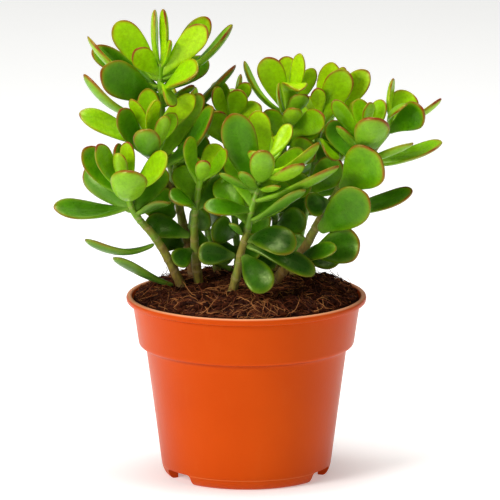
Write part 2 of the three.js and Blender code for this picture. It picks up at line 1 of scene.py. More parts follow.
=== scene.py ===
# %% [markdown]
# # A jade plant in a nursery pot
#
# This lesson dresses a finished solid model of a potted jade plant. The solids fix every size and
# place. Here each one gets the surface that the real thing has: smooth waxy leaves with reddish
# margins, ridged stems, crumbly soil with brown fibres, and a moulded plastic pot.

# %% Load the fixed frame
import math
import random

import bpy
import numpy as np
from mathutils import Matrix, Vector, noise


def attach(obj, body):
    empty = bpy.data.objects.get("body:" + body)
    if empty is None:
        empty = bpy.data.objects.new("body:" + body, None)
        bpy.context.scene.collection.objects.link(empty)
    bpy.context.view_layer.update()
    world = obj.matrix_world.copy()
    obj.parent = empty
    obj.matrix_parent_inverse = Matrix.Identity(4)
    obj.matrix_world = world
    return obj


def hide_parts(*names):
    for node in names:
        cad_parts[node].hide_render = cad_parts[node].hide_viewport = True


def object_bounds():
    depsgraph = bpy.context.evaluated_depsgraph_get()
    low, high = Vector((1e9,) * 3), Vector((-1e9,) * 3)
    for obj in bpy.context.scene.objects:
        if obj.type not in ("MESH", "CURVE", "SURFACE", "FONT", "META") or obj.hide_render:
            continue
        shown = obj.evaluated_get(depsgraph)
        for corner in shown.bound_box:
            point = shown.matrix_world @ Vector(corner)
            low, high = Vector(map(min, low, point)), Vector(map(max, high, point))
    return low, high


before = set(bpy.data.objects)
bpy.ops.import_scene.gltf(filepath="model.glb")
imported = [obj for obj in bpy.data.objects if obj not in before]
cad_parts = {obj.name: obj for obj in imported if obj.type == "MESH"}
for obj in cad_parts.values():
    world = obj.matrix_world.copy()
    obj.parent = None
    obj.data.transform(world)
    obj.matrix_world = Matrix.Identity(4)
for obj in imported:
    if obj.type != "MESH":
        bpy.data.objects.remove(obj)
cad_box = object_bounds()
random.seed(7)
MM = 0.001
print("solids:", len(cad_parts), "box in mm:", [round(v / MM, 1) for c in cad_box for v in c])

# %% [markdown]
# ## Camera, floor and light
#
# A small object looks calm through a long lens from far away, because its near and far sides then
# have nearly the same scale. The camera looks a little down, so the soil shows inside the lip.
# The light is a plain studio set: one broad soft lamp at the front left, which draws a long sheen
# down the pot and leaves its right side darker, one above for the upper leaves, a weak one at the
# right, and a dim pale room. A brighter room would fill the gaps between the leaves and flatten
# the plant.

# %% Camera
scene = bpy.context.scene
AIM = Vector((1.8, 0, 113.7)) * MM
CAMERA_TILT = math.radians(12)
CAMERA_DISTANCE = 4.16
CAMERA_LENS = 600
camera = bpy.data.objects.new("camera", bpy.data.cameras.new("camera"))
scene.collection.objects.link(camera)
camera.data.lens = CAMERA_LENS
towards_camera = Vector((0, -math.cos(CAMERA_TILT), math.sin(CAMERA_TILT)))
camera.location = AIM + CAMERA_DISTANCE * towards_camera
camera.rotation_euler = (math.radians(90) - CAMERA_TILT, 0, 0)
camera.data.clip_end = 50
scene.camera = camera


# %% Lamps and room
def soft_lamp(name, place, size, watts):
    """A square area lamp that points at the middle of the plant."""
    lamp = bpy.data.objects.new(name, bpy.data.lights.new(name, "AREA"))
    scene.collection.objects.link(lamp)
    lamp.data.energy = watts
    lamp.data.size = size
    lamp.location = Vector(place)
    lamp.rotation_euler = (AIM - lamp.location).to_track_quat("-Z", "Y").to_euler()


soft_lamp("lamp_front_left", (-1.35, -1.15, 0.9), 0.7, 27)
soft_lamp("lamp_above", (0.0, 0.0, 1.8), 0.9, 27)
soft_lamp("lamp_right", (1.5, -0.5, 0.6), 0.8, 2)
room = bpy.data.worlds.new("pale_room")
scene.world = room
room.use_nodes = True
background = room.node_tree.nodes["Background"]
background.inputs["Color"].default_value = (1, 0.995, 0.98, 1)
background.inputs["Strength"].default_value = 0.16
scene.view_settings.view_transform = "Standard"


# %% [markdown]
# ## Small tools
#
# Each finish is a node tree. A few helpers keep the trees short: one adds a node with its values
# set, one makes a colour ramp, and one makes noise that reads the object's own coordinates, so that
# the pattern stays on the piece. The mesh helpers select and name a piece, store a value at each of
# its corners for the finishes to read, turn its faces outwards, and print what it measures.

# %% Node helpers
def new_material(name):
    material = bpy.data.materials.new(name)
    material.use_nodes = True
    shader = material.node_tree.nodes["Principled BSDF"]
    return material, material.node_tree, shader


def add_node(tree, kind, values=(), **settings):
    """A node with its settings and its input values: plain values are set, sockets are linked."""
    made = tree.nodes.new(kind)
    for key, value in settings.items():
        setattr(made, key, value)
    for key, value in dict(values).items():
        if isinstance(value, bpy.types.NodeSocket):
            tree.links.new(value, made.inputs[key])
        else:
            made.inputs[key].default_value = value
    return made


def ramp(tree, factor, stops):
    """A colour ramp through (place, colour) stops; a number stands for a grey."""
    made = add_node(tree, "ShaderNodeValToRGB", {0: factor})
    bar = made.color_ramp.elements
    while len(bar) < len(stops):
        bar.new(0.5)
    for element, (place, colour) in zip(bar, stops):
        element.position = place
        if isinstance(colour, (int, float)):
            colour = (colour,) * 3
        element.color = (*colour, 1)
    return made.outputs["Color"]


def blend_colours(tree, factor, first, second, how="MIX"):
    made = add_node(tree, "ShaderNodeMix", data_type="RGBA", blend_type=how)
    for place, value in ((0, factor), (6, first), (7, second)):
        if isinstance(value, bpy.types.NodeSocket):
            tree.links.new(value, made.inputs[place])
        else:
            made.inputs[place].default_value = value if place == 0 else (*value, 1)
    return made.outputs[2]


def multiply(tree, first, second):
    made = add_node(tree, "ShaderNodeMath", {0: first, 1: second}, operation="MULTIPLY")
    return made.outputs[0]


def own_noise(tree, scale, detail=3.0, stretch=(1, 1, 1), rough=0.5):
    """Noise on the object's own coordinates; scale counts features per metre."""
    place = add_node(tree, "ShaderNodeTexCoord").outputs["Object"]
    spread = add_node(tree, "ShaderNodeMapping", {"Vector": place, "Scale": stretch})
    made = add_node(
        tree,
        "ShaderNodeTexNoise",
        {"Vector": spread.outputs[0], "Scale": scale, "Detail": detail, "Roughness": rough},
    )
    return made.outputs["Fac"]


def read_attribute(tree, name):
    return add_node(tree, "ShaderNodeAttribute", attribute_name=name).outputs["Fac"]


def bump(tree, shader, height, depth_mm, strength=1.0):
    made = add_node(
        tree, "ShaderNodeBump", {"Height": height, "Distance": depth_mm * MM, "Strength": strength}
    )
    tree.links.new(made.outputs[0], shader.inputs["Normal"])


# %% Mesh helpers
def only(piece):
    """Selects one piece and makes it the active one."""
    if bpy.context.object and bpy.context.object.mode != "OBJECT":
        bpy.ops.object.mode_set(mode="OBJECT")
    bpy.ops.object.select_all(action="DESELECT")
    piece.select_set(True)
    bpy.context.view_layer.objects.active = piece


def name_active(name):
    piece = bpy.context.object
    piece.name = name
    piece.data.name = name
    return piece


def keep_attribute(piece, name, values):
    made = piece.data.attributes.new(name, "FLOAT", "POINT")
    made.data.foreach_set("value", np.asarray(values, np.float32))


def face_outwards(piece):
    """Turns every face of a closed piece outwards and shades it smooth."""
    only(piece)
    bpy.ops.object.mode_set(mode="EDIT")
    bpy.ops.mesh.select_all(action="SELECT")
    bpy.ops.mesh.normals_make_consistent(inside=False)
    bpy.ops.object.mode_set(mode="OBJECT")
    bpy.ops.object.shade_smooth()


def report(piece):
    """Prints what a piece measures, in millimetres."""
    low, high = (Vector(piece.bound_box[i]) for i in (0, 6))
    size = [round(v / MM, 1) for v in high - low]
    print(f"{piece.name}: {len(piece.data.polygons)} faces, {size} mm")


# %% [markdown]
# ## Floor
#
# The floor is a plain pale sheet, wide enough to fill the view behind the plant. It glows a little,
# as a light table does, so that it stays white while the lamps stay low enough for deep colours.
# The glow also lifts the undersides of the leaves. Brighter lamps would whiten the floor too, but
# they would wash out the orange of the pot.

# %% Make the floor
FLOOR_SIZE = 24
bpy.ops.object.select_all(action="DESELECT")
bpy.ops.mesh.primitive_plane_add(size=FLOOR_SIZE)
floor = name_active("floor")
material, tree, shader = new_material("pale_floor")
grain = own_noise(tree, 3.0)
colour = ramp(tree, grain, [(0.3, (0.90, 0.90, 0.885)), (0.7, (0.93, 0.93, 0.915))])
tree.links.new(colour, shader.inputs["Base Color"])
shader.inputs["Roughness"].default_value = 0.9
shader.inputs["Specular IOR Level"].default_value = 0.1
shader.inputs["Emission Color"].default_value = (1, 1, 0.985, 1)
shader.inputs["Emission Strength"].default_value = 0.32
floor.data.materials.append(material)

# %% [markdown]
# ## The pot
#
# A nursery pot is one thin shell of injection-moulded plastic. Every level section of it is round,
# so its shape is a single profile turned about the axis. The profile is grown point by point from
# one vertex, as one would draw it by hand, and each rounded corner is drawn as a bow of short
# steps. A bevel would round them too, but it gives every corner the same width. Spin turns the
# profile into the shell. Cutting the foot notches and the drain holes comes after that, because
# they are the only things that aren't round.

# %% Draw the pot's profile
LIP_RADIUS = 60.0
POT_HEIGHT = 91.2
STEP_HEIGHT = 66.0
BAND_TOP = 87.8
BAND_RADIUS = 56.9
BAND_FOOT_RADIUS = 53.7
BODY_RADIUS = 50.5
FOOT_RADIUS = 42.6
RING_RADIUS = 38.6
POT_SIDES = 144


def bow(start, pull, end, count):
    """Points on a bow from start towards end, pulled towards a third point."""
    points = []
    for i in range(1, count + 1):
        t = i / count
        a, b, c = (1 - t) ** 2, 2 * t * (1 - t), t * t
        points.append(tuple(a * s + b * p + c * e for s, p, e in zip(start, pull, end)))
    return points


body_top = (BODY_RADIUS - 0.45, STEP_HEIGHT - 2.6)
step_middle = (52.5, STEP_HEIGHT)
band_foot = (54.0, STEP_HEIGHT + 2.2)
band_end = (BAND_RADIUS, BAND_TOP - 0.5)
lip_underside = (LIP_RADIUS - 0.9, BAND_TOP + 0.1)
lip_side = (LIP_RADIUS, 89.6)
lip_crest = (58.2, POT_HEIGHT)
lip_inner_edge = (57.9, POT_HEIGHT - 0.05)
outside = [(0.01, 6.0), (20.0, 6.0), (36.2, 6.0), (36.2, 0.0), (RING_RADIUS, 0.0)]
outside += bow((RING_RADIUS, 0.0), (FOOT_RADIUS - 0.8, 0.4), (FOOT_RADIUS, 7.0), 7)
outside += [(46.4, 36.0), body_top]
outside += bow(body_top, (BODY_RADIUS, STEP_HEIGHT), step_middle, 4)
outside += bow(step_middle, (BAND_FOOT_RADIUS + 0.1, STEP_HEIGHT), band_foot, 4)
outside += [(55.4, 78.0), band_end]
outside += bow(band_end, (57.3, BAND_TOP), lip_underside, 3)
outside += bow(lip_underside, (LIP_RADIUS, BAND_TOP + 0.2), lip_side, 3)
outside += bow(lip_side, (LIP_RADIUS, POT_HEIGHT), lip_crest, 5)
inside = [lip_inner_edge]
inside += bow(lip_inner_edge, (57.3, POT_HEIGHT - 0.1), (57.1, 90.2), 3)
inside += [(56.7, 88.8), (55.2, 85.0), (52.6, 69.0), (49.2, 65.0), (41.1, 8.0), (20.0, 8.0)]
inside += [(0.01, 8.0)]
pot_profile = outside + inside
print("profile points:", len(pot_profile))


# %% Turn the profile into the shell
def turned(name, profile, sides):
    """Draws a profile of (radius, height) points from one vertex and spins it about the axis."""
    bpy.ops.object.select_all(action="DESELECT")
    bpy.ops.mesh.primitive_plane_add(size=MM)
    piece = name_active(name)
    bpy.ops.object.mode_set(mode="EDIT")
    bpy.ops.mesh.select_all(action="SELECT")
    bpy.ops.mesh.merge(type="CENTER")
    bpy.ops.transform.translate(value=(profile[0][0] * MM, 0, profile[0][1] * MM))
    for (r0, z0), (r1, z1) in zip(profile, profile[1:]):
        step = {"value": ((r1 - r0) * MM, 0, (z1 - z0) * MM)}
        bpy.ops.mesh.extrude_region_move(TRANSFORM_OT_translate=step)
    bpy.ops.mesh.select_all(action="SELECT")
    bpy.ops.mesh.spin(steps=sides, angle=2 * math.pi, center=(0, 0, 0), axis=(0, 0, 1))
    bpy.ops.mesh.select_all(action="SELECT")
    bpy.ops.mesh.remove_doubles(threshold=0.02 * MM)
    bpy.ops.mesh.dissolve_degenerate(threshold=0.005 * MM)
    bpy.ops.mesh.normals_make_consistent(inside=False)
    bpy.ops.object.mode_set(mode="OBJECT")
    return piece


pot = turned("nursery_pot", pot_profile, POT_SIDES)
report(pot)


# %% Cut the notches and the drain holes
NOTCHES = (-145, -25, 95)
NOTCH_WIDTH = 19.0
NOTCH_HEIGHT = 5.4
NOTCH_DEPTH = 24
NOTCH_CIRCLE = 38
NOTCH_ROUNDING = 1.8
DRAIN_HOLES = 6
DRAIN_CIRCLE = 24
DRAIN_RADIUS = 3.5
SMOOTH_BELOW = 32  # degrees between two faces


def cut(piece, cutter):
    """Cuts one closed shape out of a piece and removes the cutter."""
    only(piece)
    boolean = piece.modifiers.new("cut", "BOOLEAN")
    boolean.operation = "DIFFERENCE"
    boolean.solver = "EXACT"
    boolean.object = cutter
    bpy.ops.object.modifier_apply(modifier=boolean.name)
    bpy.data.objects.remove(cutter)


for degrees in NOTCHES:
    turn = math.radians(degrees)
    middle = Vector((math.cos(turn), math.sin(turn), 0)) * NOTCH_CIRCLE * MM
    bpy.ops.object.select_all(action="DESELECT")
    bpy.ops.mesh.primitive_cube_add(size=1, location=middle, rotation=(0, 0, turn))
    cutter = name_active("notch_cutter")
    cutter.scale = (NOTCH_DEPTH * MM, NOTCH_WIDTH * MM, 2 * NOTCH_HEIGHT * MM)
    bpy.ops.object.transform_apply(location=True, rotation=True, scale=True)
    bevel = cutter.modifiers.new("round", "BEVEL")
    bevel.width = NOTCH_ROUNDING * MM
    bevel.segments = 4
    bpy.ops.object.modifier_apply(modifier=bevel.name)
    cut(pot, cutter)
for i in range(DRAIN_HOLES):
    turn = (i + 0.5) * 2 * math.pi / DRAIN_HOLES
    middle = Vector((DRAIN_CIRCLE * math.cos(turn), DRAIN_CIRCLE * math.sin(turn), 7)) * MM
    bpy.ops.object.select_all(action="DESELECT")
    bpy.ops.mesh.primitive_cylinder_add(
        vertices=24, radius=DRAIN_RADIUS * MM, depth=6 * MM, location=middle
    )
    cut(pot, name_active("drain_cutter"))
only(pot)
bpy.ops.object.shade_smooth_by_angle(angle=math.radians(SMOOTH_BELOW))
report(pot)

# %% [markdown]
# ### Its plastic
#
# The plastic is a warm orange, coloured through. Light goes a little way into it and its sheen is
# weak and tinted, so both its lights and its shadows stay warm. Moulding leaves a faint
# orange-peel skin and, near the foot, fine level lines. Handling leaves soft scuffs that show as
# duller patches. A painted shade darkens a band of the wall just under the step, and a painted
# highlight makes the top of the rim pale. Both lie at a fixed height, so they are bands of the
# object's own height. Painting them by hand would work too, but a band follows the step all the way
# round.

# %% Moulded plastic
material, tree, shader = new_material("orange_plastic")
cloud = own_noise(tree, 14.0, 4.0)
colour = ramp(tree, cloud, [(0.3, (0.50, 0.052, 0.003)), (0.7, (0.57, 0.068, 0.004))])
scuff = own_noise(tree, 90.0, 6.0, (1, 1, 0.35), 0.65)
dust = ramp(tree, scuff, [(0.58, 0.0), (0.8, 0.10)])
colour = blend_colours(tree, dust, colour, (0.60, 0.15, 0.03))
place = add_node(tree, "ShaderNodeTexCoord").outputs["Object"]
height = add_node(tree, "ShaderNodeSeparateXYZ", {0: place}).outputs["Z"]


def level_band(tree, height, low_mm, high_mm, stops):
    """Greys over a range of heights, from its foot at 0 to its top at 1."""
    span = (high_mm - low_mm) * MM
    values = {0: height, 1: 1 / span, 2: -low_mm * MM / span}
    share = add_node(tree, "ShaderNodeMath", values, operation="MULTIPLY_ADD").outputs[0]
    return ramp(tree, share, stops)


# Painted shade: a dark band on the wall just under the step, where the step overhangs it.
shade_under_step_stops = [(0.3, 0.0), (0.72, 0.45), (0.82, 0.45), (0.95, 0.0)]
shade_under_step = level_band(tree, height, 63.0, 66.6, shade_under_step_stops)
colour = blend_colours(tree, shade_under_step, colour, (0.22, 0.014, 0.002))
# Painted highlight: the top of the rim is made pale, where the light from above catches it.
rim_highlight = level_band(tree, height, 90.0, 91.2, [(0.35, 0.0), (0.95, 0.6)])
colour = blend_colours(tree, rim_highlight, colour, (0.92, 0.50, 0.26))
foot_line = level_band(tree, height, 4.6, 5.6, [(0.2, 0.0), (0.5, 0.35), (0.8, 0.0)])
colour = blend_colours(tree, foot_line, colour, (0.85, 0.30, 0.10))
tree.links.new(colour, shader.inputs["Base Color"])
roughness = ramp(tree, scuff, [(0.3, 0.30), (0.75, 0.42)])
tree.links.new(roughness, shader.inputs["Roughness"])
shader.inputs["Subsurface Weight"].default_value = 0.05
shader.inputs["Subsurface Radius"].default_value = (1.0, 0.3, 0.1)
shader.inputs["Subsurface Scale"].default_value = 2.0 * MM
shader.inputs["Specular IOR Level"].default_value = 0.15
shader.inputs["Specular Tint"].default_value = (1.0, 0.45, 0.12, 1)
peel = own_noise(tree, 900.0, 2.0)
lines = add_node(tree, "ShaderNodeMath", {0: multiply(tree, height, 9000.0)}, operation="SINE")
near_foot = ramp(tree, multiply(tree, height, 100.0), [(0.55, 1.0), (0.75, 0.0)])
ridges = multiply(tree, lines.outputs[0], near_foot)
relief = add_node(tree, "ShaderNodeMath", {0: ridges, 1: peel}, operation="ADD").outputs[0]
bump(tree, shader, relief, 0.05)
pot.data.materials.clear()
pot.data.materials.append(material)
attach(pot, "root")
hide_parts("pot")

# %% [markdown]
# ## The leaves
#
# A jade leaf is a thick paddle: a short narrow stalk, a broad round blade, a slightly hollow upper
# face and a blunt margin. The solids hold a coarse version of every leaf in its exact place. The
# way used here is to model one smooth leaf blank, and to lay a copy of it along each coarse leaf.
# So the leaves are measured on their solids first. A leaf's tip is a vertex with six neighbours, and
# behind it the leaf is a row of six-sided sections, which gives its middle line, its width, its
# thickness and the way that it faces.
#
# A leaf is found only where its tip and the two sections behind it can be read. The solids hold 196
# leaves and 187 are found this way, so nine leaves on the crowded shoot tips are left out here.

# %% Measure the leaves of a solid
SECTION_PLACES = (0.94, 0.75, 0.48, 0.22, 0.0)
SECTION_WIDTHS = (0.68, 1.0, 0.88, 0.48, 0.3)
LEAF_CUP = 0.16  # hollow of the upper face, as a share of half the width
TIP_RATIO = (0.64, 0.72)  # the first section's width over the second's
FITTING = 0.02  # how far a section's width may be from a leaf's
SECOND_THICKNESS = 0.94  # the second section's thickness over the leaf's


def merged_copy(node):
    """A copy of a solid whose loose triangles are joined at their corners."""
    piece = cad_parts[node].copy()
    piece.data = piece.data.copy()
    piece.parent = None
    scene.collection.objects.link(piece)
    only(piece)
    bpy.ops.object.mode_set(mode="EDIT")
    bpy.ops.mesh.select_all(action="SELECT")
    bpy.ops.mesh.remove_doubles(threshold=0.002 * MM)
    bpy.ops.object.mode_set(mode="OBJECT")
    return piece


def read_solid(node):
    """A solid's corner places and, for each corner, the set of its neighbours."""
    piece = merged_copy(node)
    places = [v.co.copy() for v in piece.data.vertices]
    near = [set() for _ in places]
    for edge in piece.data.edges:
        a, b = edge.vertices
        near[a].add(b)
        near[b].add(a)
    mesh = piece.data
    bpy.data.objects.remove(piece)
    bpy.data.meshes.remove(mesh)
    return places, near


def rows_from(row, seen, near, sides):
    """The rows of equally many corners that follow one another from a first row on."""
    seen = set(seen)
    rows = []
    while len(row) == sides:
        rows.append(sorted(row))
        seen |= row
        row = set().union(*(near[v] for v in row)) - seen
    return rows


def section_of(points):
    """A section's rim middle, side direction, width, upward direction and thickness."""
    pairs = [(a, b) for i, a in enumerate(points) for b in points[i + 1 :]]
    left, right = max(pairs, key=lambda pair: (pair[0] - pair[1]).length)
    middle = (left + right) / 2
    side = (right - left).normalized()
    rest = [p - middle for p in points if p is not left and p is not right]
    rest = [p - side * p.dot(side) for p in rest]
    rest.sort(key=lambda p: p.length)
    over = (rest[0] + rest[1] - rest[2] - rest[3]).normalized()
    thick = (rest[0] + rest[1] - rest[2] - rest[3]).length / 2
    return middle, side, (right - left).length, over, thick


def leaves_of(node):
    """The leaves that stand out of a solid."""
    places, near = read_solid(node)
    found = []
    for tip, close in enumerate(near):
        rows = rows_from(close, {tip}, near, 6)[:5]
        if len(rows) < 2:
            continue
        sections = [section_of([places[v] for v in row]) for row in rows]
        ratio = sections[0][2] / sections[1][2]
        if not TIP_RATIO[0] < ratio < TIP_RATIO[1]:
            continue
        shares = [s[2] / sections[1][2] - w for s, w in zip(sections, SECTION_WIDTHS)]
        while abs(shares[len(sections) - 1]) > FITTING:
            sections.pop()
        width = sections[1][2]
        over = sum((s[3] for s in sections[:3]), Vector()).normalized()
        equations = []
        targets = []
        for at, share, (middle, _, _, up, _) in zip(SECTION_PLACES, SECTION_WIDTHS, sections):
            centre = middle - up * (LEAF_CUP * width / 2 * share * share)
            equations.append([(1 - at) ** 2, 2 * at * (1 - at)])
            targets.append(np.array(centre - places[tip] * at * at))
        base, knee = np.linalg.lstsq(np.array(equations), np.array(targets), rcond=None)[0]
        thick = sections[1][4] / SECOND_THICKNESS - 0.2 * LEAF_CUP * width / 2
        found.append(
            {
                "base": Vector(base),
                "knee": Vector(knee),
                "tip": places[tip],
                "side": sections[1][1],
                "over": over,
                "width": width,
                "thick": thick,
            }
        )
    return found


leaf_nodes = sorted(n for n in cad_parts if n.startswith("leaf_"))
rosette_nodes = sorted(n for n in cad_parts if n.startswith("rosette_"))
leaves = {node: leaves_of(node) for node in leaf_nodes + rosette_nodes}
for node, found in leaves.items():
    if len(found) != 1:
        print(node, len(found), "leaves")
print("leaves measured:", sum(len(found) for found in leaves.values()))

# %% [markdown]
# ### The leaf blank
#
# The blank is a ball whose poles become the leaf's foot and its tip. A ball closes roundly at both
# ends and its rings crowd together there, which is where a leaf bends most. Seen down the pole, the
# first corner is one margin, the opposite corner the other, and the corners between make the upper
# and the lower face. A copy of the ball is laid along each leaf by moving its corners.

# %% Model the blank
def ball_blank(segments, rings):
    """A ball's corners as heights from 0 to 1 and turns about its axis, and its faces."""
    bpy.ops.object.select_all(action="DESELECT")
    bpy.ops.mesh.primitive_uv_sphere_add(segments=segments, ring_count=rings, radius=0.5)
    ball = name_active("ball_blank")
    corners = np.array([v.co for v in ball.data.vertices])
    faces = [tuple(p.vertices) for p in ball.data.polygons]
    bpy.data.objects.remove(ball)
    return corners[:, 2] + 0.5, np.arctan2(corners[:, 1], corners[:, 0]), faces


blank_along, blank_turn, blank_faces = ball_blank(18, 15)
print("leaf blank:", len(blank_along), "corners,", len(blank_faces), "faces")

# %% The blade's outline and section
WIDTH_PLACES = (0.0, 0.1, 0.22, 0.34, 0.48, 0.62, 0.75)
WIDTH_SHARES = (0.26, 0.31, 0.46, 0.66, 0.86, 0.975, 1.0)
THICK_PLACES = (0.0, 0.12, 0.3, 0.5, 0.75, 0.9, 1.0)
THICK_SHARES = (0.6, 0.72, 0.95, 1.0, 0.92, 0.78, 0.62)
ROUND_END = 0.75  # where the outline turns into the round end
CAP_START, CAP_SHARE = 0.86, 0.14  # where the tip starts to thin, and over what share
FOOT_SHARE = 0.05
BLADE_START, BLADE_RISE = 0.2, 0.35  # where the stalk starts to spread, and over what share
UPPER_SHARE, LOWER_SHARE = 0.36, 0.62  # how the thickness is split between the two faces


def width_share(along, bluntness):
    """The outline: a stalk that widens smoothly, then a round end."""
    rising = np.interp(along, WIDTH_PLACES, WIDTH_SHARES)
    past = np.clip((along - ROUND_END) / (1 - ROUND_END), 0, 1)
    return np.where(along > ROUND_END, (1 - past**bluntness) ** (1 / bluntness), rising)


def blade_points(leaf, shape):
    """The corners of one finished leaf: the blank's corners laid along the leaf's middle line."""
    v = blank_along
    x = np.cos(blank_turn)
    upper = np.sin(blank_turn) >= 0
    half = leaf["width"] / 2 * width_share(v, shape["bluntness"])
    near_tip = np.clip((v - CAP_START) / CAP_SHARE, 0, 1)
    near_foot = np.clip((FOOT_SHARE - v) / FOOT_SHARE, 0, 1)
    end_cap = np.sqrt(np.clip(1 - near_tip**2.4, 0, 1))
    foot_cap = np.sqrt(np.clip(1 - near_foot**2, 0, 1))
    body = leaf["thick"] * np.interp(v, THICK_PLACES, THICK_SHARES) * end_cap * foot_cap
    section = np.clip(1 - np.abs(x) ** 2.7, 0, 1) ** 0.55
    across = x * half * foot_cap
    blade = np.clip((v - BLADE_START) / BLADE_RISE, 0, 1)
    lift = shape["cup"] * half * np.abs(x) ** 1.7 * blade
    wave = np.sin(9 * v + shape["phase"] + (x > 0) * 2.1)
    ripple = shape["ripple"] * half * np.abs(x) ** 2 * wave
    over = np.where(upper, UPPER_SHARE, -LOWER_SHARE) * body * section + lift + ripple * blade
    over -= shape["groove"] * body * np.exp(-((x / 0.16) ** 2)) * upper * blade * (1 - v) * 1.6
    base, knee, tip = (np.array(leaf[k]) for k in ("base", "knee", "tip"))
    w = v[:, None]
    centre = base * (1 - w) ** 2 + knee * 2 * w * (1 - w) + tip * w * w
    tangent = 2 * (knee - base) * (1 - w) + 2 * (tip - knee) * w
    tangent /= np.linalg.norm(tangent, axis=1)[:, None]
    side = np.array(leaf["side"])
    up = np.cross(side, tangent)
    up *= np.sign(up @ np.array(leaf["over"]))[:, None]
    up /= np.linalg.norm(up, axis=1)[:, None]
    twist = shape["twist"] * (v - 0.45) * np.clip(v / 0.3, 0, 1)
    turned_side = side * np.cos(twist)[:, None] + up * np.sin(twist)[:, None]
    turned_up = up * np.cos(twist)[:, None] - side * np.sin(twist)[:, None]
    curl = shape["curl"] * leaf["width"] * np.clip((v - 0.6) / 0.4, 0, 1) ** 2
    centre = centre + up * curl[:, None]
    return centre + turned_side * across[:, None] + turned_up * over[:, None]


def margin_share(shape):
    """How near each corner is to the leaf's outline: 0 on the middle line and 1 on the margin."""
    v = blank_along
    x = np.abs(np.cos(blank_turn))
    past = np.clip((v - ROUND_END) / (1 - ROUND_END), 0, 1)
    lateral = x * width_share(v, shape["bluntness"])
    return np.where(v > ROUND_END, np.clip(np.sqrt(past**2 + lateral**2), 0, 1), x)


# %% [markdown]
# ### Laying the leaves
#
# Leaves differ. Some are hollow like spoons and others nearly flat, some curl at the tip, and old
# ones twist a little. Each leaf draws its own small departures. It also carries its age, because
# young leaves at the tips are yellow-green and old ones low down are dark, and how much sun its
# margin had, because the sun turns margins red.

# %% Lay every leaf
PLANT_TOP = cad_box[1].z
PLANT_REACH = 90 * MM


def new_piece(name, points, faces):
    mesh = bpy.data.meshes.new(name)
    mesh.from_pydata([tuple(p) for p in points], [], faces)
    mesh.update()
    piece = bpy.data.objects.new(name, mesh)
    scene.collection.objects.link(piece)
    return piece


def shape_of(leaf, old):
    return {
        "bluntness": random.uniform(1.8, 2.25),
        "cup": LEAF_CUP + random.uniform(-0.04, 0.16) * (1 - 0.6 * old),
        "ripple": random.uniform(0.0, 0.035),
        "phase": random.uniform(0, 6.3),
        "groove": random.uniform(0.05, 0.16),
        "twist": math.radians(random.uniform(-16, 16)),
        "curl": random.uniform(-0.05, 0.03),
    }


class LeafBundle:
    """Gathers the corners, faces and attributes of leaves that make one piece."""

    def __init__(self):
        self.points, self.faces, self.count = [], [], 0
        self.marks = {k: [] for k in ("along", "margin", "middle", "under", "age", "sun", "tint")}

    def add(self, leaf, age, sun):
        shape = shape_of(leaf, age)
        points = blade_points(leaf, shape)
        self.points.append(points)
        self.faces += [tuple(i + self.count for i in face) for face in blank_faces]
        self.count += len(points)
        steady = np.ones(len(points))
        self.marks["along"].append(blank_along)
        self.marks["margin"].append(margin_share(shape))
        self.marks["middle"].append(np.abs(np.cos(blank_turn)))
        self.marks["under"].append((np.sin(blank_turn) < -0.01) * 1.0)
        self.marks["age"].append(steady * age)
        self.marks["sun"].append(steady * sun)
        self.marks["tint"].append(steady * random.random())

    def make(self, name):
        piece = new_piece(name, np.concatenate(self.points), self.faces)
        for mark, values in self.marks.items():
            keep_attribute(piece, mark, np.concatenate(values))
        face_outwards(piece)
        smooth = piece.modifiers.new("smooth", "SUBSURF")
        smooth.levels = smooth.render_levels = 1
        bpy.ops.object.modifier_apply(modifier=smooth.name)
        return piece


def sun_on(leaf, age):
    """High and outer leaves have the reddest margins."""
    height = leaf["tip"].z / PLANT_TOP
    out = Vector((leaf["tip"].x, leaf["tip"].y)).length / PLANT_REACH
    luck = random.uniform(-0.15, 0.25)
    return min(1, max(0, (height - 0.5) * 1.5 + 0.35 * out - 0.25 * age + luck))


FOOT_SINK = 0.03  # how far a single leaf's foot goes into the stem, as a share of its length
pieces = {}
for node in leaf_nodes:
    bundle = LeafBundle()
    leaf = leaves[node][0]
    reach = leaf["tip"] - leaf["base"]
    leaf["base"] = leaf["base"] - reach * FOOT_SINK
    age = min(1, max(0.4, 1.05 - (leaf["tip"].z - 0.11) * 9 + random.uniform(-0.1, 0.1)))
    bundle.add(leaf, age, sun_on(leaf, age))
    pieces[node] = bundle.make("old_" + node)
print("single leaves:", len(pieces))

# %% Lay the leaves of each green tip
for node in rosette_nodes:
    bundle = LeafBundle()
    rows = sorted(leaves[node], key=lambda leaf: leaf["base"].z)
    for rank, leaf in enumerate(rows):
        young = rank / max(1, len(rows) - 1)
        age = 0.62 * (1 - young) + 0.5 * max(0, 0.84 - leaf["tip"].z / PLANT_TOP)
        age = min(1, max(0, age + random.uniform(-0.1, 0.1)))
        bundle.add(leaf, age, sun_on(leaf, age))
    pieces[node] = bundle.make("crown_" + node)
    report(pieces[node])
